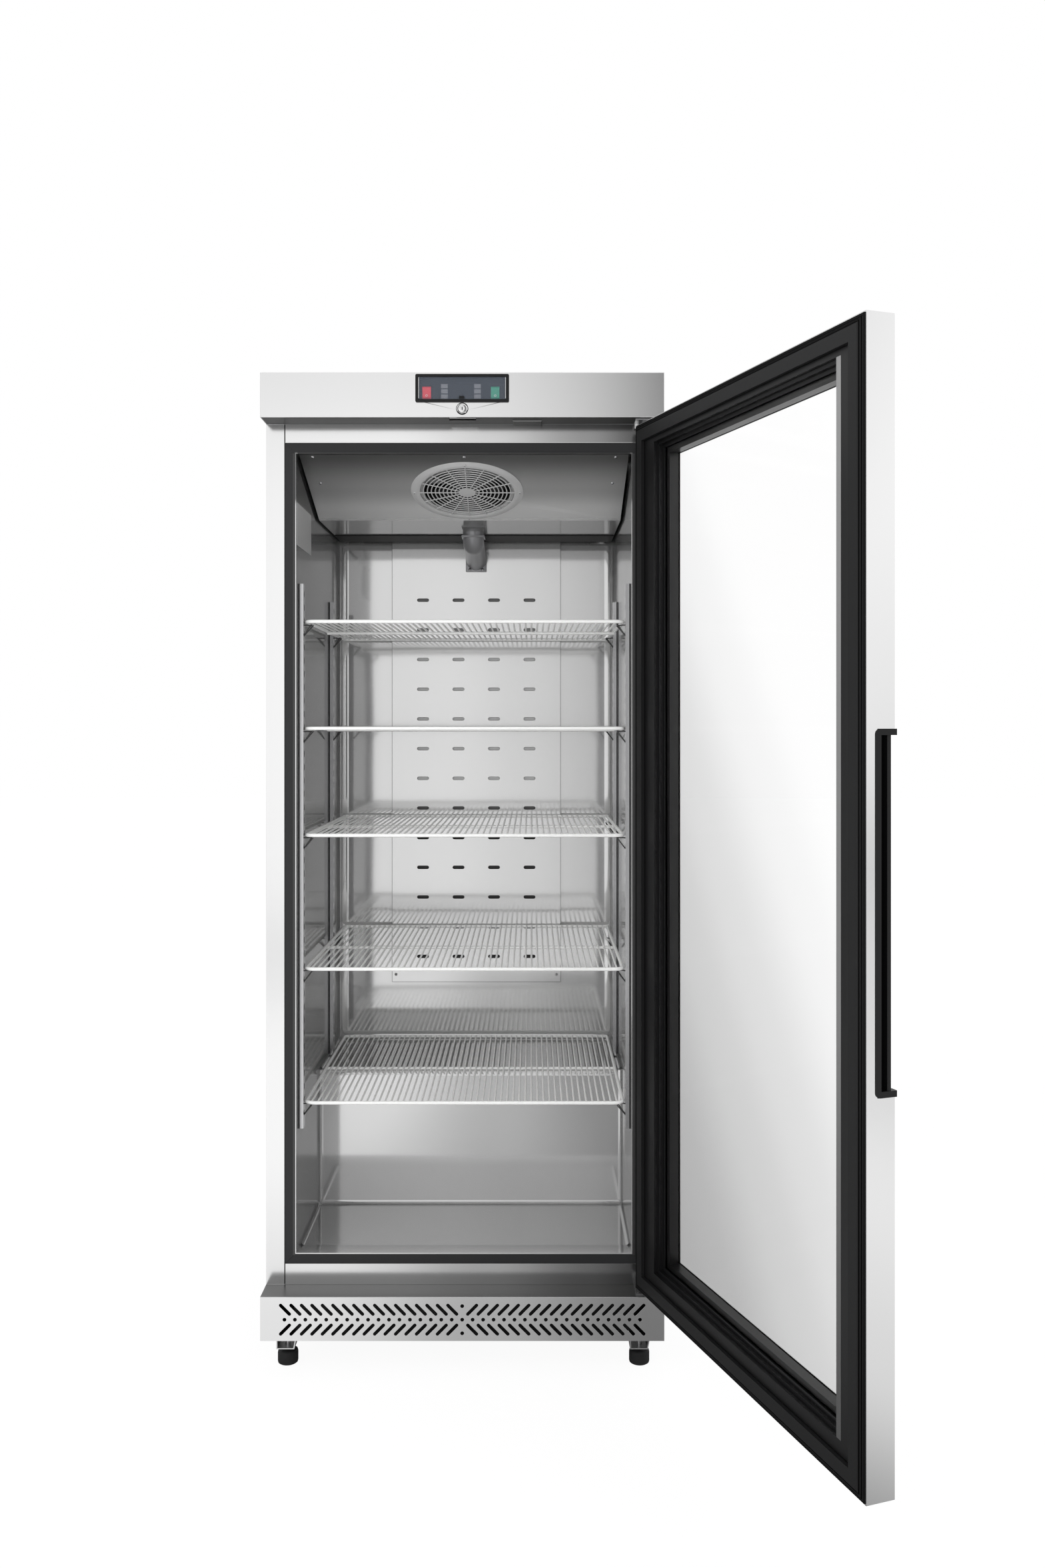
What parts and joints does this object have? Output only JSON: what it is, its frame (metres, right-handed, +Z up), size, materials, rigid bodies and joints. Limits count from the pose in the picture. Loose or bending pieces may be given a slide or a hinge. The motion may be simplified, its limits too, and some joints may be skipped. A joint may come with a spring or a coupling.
{
  "type": "glass door refrigerator",
  "caption": "Upright commercial refrigerator with one framed glass door, wire shelves, a stepped steel interior and a control panel above the door.",
  "frame": {"origin": "on the floor under the middle of the cabinet", "axes": "+X to the right seen from the front, +Y to the back, +Z up"},
  "size_m": [1.0361, 1.437, 1.927],
  "materials": {
    "brushed_steel": "brushed",
    "liner_aluminium": "satin",
    "galvanised_steel": "satin",
    "insulation_foam": "matte",
    "black_plastic": "satin",
    "black_rubber": "matte",
    "white_nylon": "satin",
    "glass": "gloss",
    "tinted_window": "gloss",
    "zinc": "polished",
    "white_wire": "satin",
    "black_paint": "satin",
    "red_plastic": "gloss",
    "green_plastic": "gloss",
    "light_plastic": "satin",
    "grey_plastic": "satin"
  },
  "bodies": {
    "cabinet": {"inner_liner": "liner_aluminium", "insulation": "insulation_foam", "side_panel_right": "brushed_steel", "side_panel_left": "brushed_steel", "back_panel": "galvanised_steel", "top_panel": "galvanised_steel", "face_rails": "brushed_steel", "breaker_frame": "black_plastic", "top_cover": "brushed_steel", "hood_fascia": "brushed_steel", "control_bezel": "black_plastic", "controller_module": "black_plastic", "lock_housing": "zinc", "door_sensor": "grey_plastic", "kick_plate": "brushed_steel", "base_frame": "galvanised_steel", "hinge_bracket_top": "zinc", "hinge_bracket_bottom": "zinc", "hinge_stop_pin": "white_nylon", "pilasters": "liner_aluminium", "shelf_clips": "zinc", "fan_guard": "light_plastic", "evaporator_fan_motor": "galvanised_steel", "evaporator_coil": "liner_aluminium", "evaporator_cover": "liner_aluminium", "drain_elbow": "grey_plastic", "duct_panel": "liner_aluminium", "machine_tray": "galvanised_steel", "compressor": "black_paint", "condenser_coil": "black_paint", "condenser_fan_motor": "galvanised_steel", "rear_grille": "galvanised_steel"},
    "door": {"door_skin": "brushed_steel", "door_inner_frame": "black_plastic", "glass_panes": "glass", "glass_spacer": "liner_aluminium", "door_gasket": "black_rubber", "door_handle": "black_plastic", "hinge_bushes": "white_nylon"},
    "lock_barrel": {"lock_barrel": "zinc"},
    "control_window": {"control_window": "tinted_window"},
    "rocker_red": {"rocker_red": "red_plastic"},
    "rocker_green": {"rocker_green": "green_plastic"},
    "evaporator_fan": {"evaporator_fan": "black_plastic"},
    "condenser_fan": {"condenser_fan": "black_plastic"},
    "button_left_1": {"button_left_1": "grey_plastic"},
    "button_left_2": {"button_left_2": "grey_plastic"},
    "button_left_3": {"button_left_3": "grey_plastic"},
    "button_right_1": {"button_right_1": "grey_plastic"},
    "button_right_2": {"button_right_2": "grey_plastic"},
    "button_right_3": {"button_right_3": "grey_plastic"},
    "shelf_1": {"shelf_1": "white_wire"},
    "shelf_2": {"shelf_2": "white_wire"},
    "shelf_3": {"shelf_3": "white_wire"},
    "shelf_4": {"shelf_4": "white_wire"},
    "shelf_5": {"shelf_5": "white_wire"},
    "foot_front_left": {"foot_front_left": "black_rubber"},
    "foot_front_right": {"foot_front_right": "black_rubber"},
    "foot_rear_left": {"foot_rear_left": "black_rubber"},
    "foot_rear_right": {"foot_rear_right": "black_rubber"}
  },
  "joints": [
    {"name": "door_swing", "type": "hinge", "parent": "cabinet", "child": "door", "pos_m": [0.373, -0.347, 0.99375], "axis": [0, 0, 1], "range_deg": [-110, 10]},
    {"name": "lock_turn", "type": "hinge", "parent": "cabinet", "child": "lock_barrel", "pos_m": [0, -0.354, 1.8573], "axis": [0, 1, 0], "range_deg": [0, 90]},
    {"name": "window_flip", "type": "hinge", "parent": "cabinet", "child": "control_window", "pos_m": [0, -0.3674, 1.9177], "axis": [-1, 0, 0], "range_deg": [0, 100]},
    {"name": "rocker_red_tip", "type": "hinge", "parent": "cabinet", "child": "rocker_red", "pos_m": [-0.066, -0.355, 1.89], "axis": [1, 0, 0], "range_deg": [-18, 0]},
    {"name": "rocker_green_tip", "type": "hinge", "parent": "cabinet", "child": "rocker_green", "pos_m": [0.066, -0.355, 1.89], "axis": [1, 0, 0], "range_deg": [-18, 0]},
    {"name": "button_left_1_press", "type": "slide", "parent": "cabinet", "child": "button_left_1", "axis": [0, 1, 0], "range_m": [0, 0.001], "stiffness_N_per_m": 400},
    {"name": "button_left_2_press", "type": "slide", "parent": "cabinet", "child": "button_left_2", "axis": [0, 1, 0], "range_m": [0, 0.001], "stiffness_N_per_m": 400},
    {"name": "button_left_3_press", "type": "slide", "parent": "cabinet", "child": "button_left_3", "axis": [0, 1, 0], "range_m": [0, 0.001], "stiffness_N_per_m": 400},
    {"name": "button_right_1_press", "type": "slide", "parent": "cabinet", "child": "button_right_1", "axis": [0, 1, 0], "range_m": [0, 0.001], "stiffness_N_per_m": 400},
    {"name": "button_right_2_press", "type": "slide", "parent": "cabinet", "child": "button_right_2", "axis": [0, 1, 0], "range_m": [0, 0.001], "stiffness_N_per_m": 400},
    {"name": "button_right_3_press", "type": "slide", "parent": "cabinet", "child": "button_right_3", "axis": [0, 1, 0], "range_m": [0, 0.001], "stiffness_N_per_m": 400},
    {"name": "evaporator_fan_spin", "type": "hinge", "parent": "cabinet", "child": "evaporator_fan", "pos_m": [0, -0.164, 1.73363], "axis": [0, -0.3398, -0.9405], "continuous": true},
    {"name": "condenser_fan_spin", "type": "hinge", "parent": "cabinet", "child": "condenser_fan", "pos_m": [0.185, 0.1398, 0.1924], "axis": [0, 1, 0], "continuous": true},
    {"name": "shelf_1_slide", "type": "slide", "parent": "cabinet", "child": "shelf_1", "axis": [0, -1, 0], "range_m": [0, 0.45]},
    {"name": "shelf_2_slide", "type": "slide", "parent": "cabinet", "child": "shelf_2", "axis": [0, -1, 0], "range_m": [0, 0.45]},
    {"name": "shelf_3_slide", "type": "slide", "parent": "cabinet", "child": "shelf_3", "axis": [0, -1, 0], "range_m": [0, 0.45]},
    {"name": "shelf_4_slide", "type": "slide", "parent": "cabinet", "child": "shelf_4", "axis": [0, -1, 0], "range_m": [0, 0.45]},
    {"name": "shelf_5_slide", "type": "slide", "parent": "cabinet", "child": "shelf_5", "axis": [0, -1, 0], "range_m": [0, 0.45]},
    {"name": "foot_front_left_turn", "type": "hinge", "parent": "cabinet", "child": "foot_front_left", "pos_m": [-0.3445, -0.31, 0], "axis": [0, 0, 1], "continuous": true},
    {"name": "foot_front_right_turn", "type": "hinge", "parent": "cabinet", "child": "foot_front_right", "pos_m": [0.3445, -0.31, 0], "axis": [0, 0, 1], "continuous": true},
    {"name": "foot_rear_left_turn", "type": "hinge", "parent": "cabinet", "child": "foot_rear_left", "pos_m": [-0.3445, 0.31, 0], "axis": [0, 0, 1], "continuous": true},
    {"name": "foot_rear_right_turn", "type": "hinge", "parent": "cabinet", "child": "foot_rear_right", "pos_m": [0.3445, 0.31, 0], "axis": [0, 0, 1], "continuous": true}
  ]
}
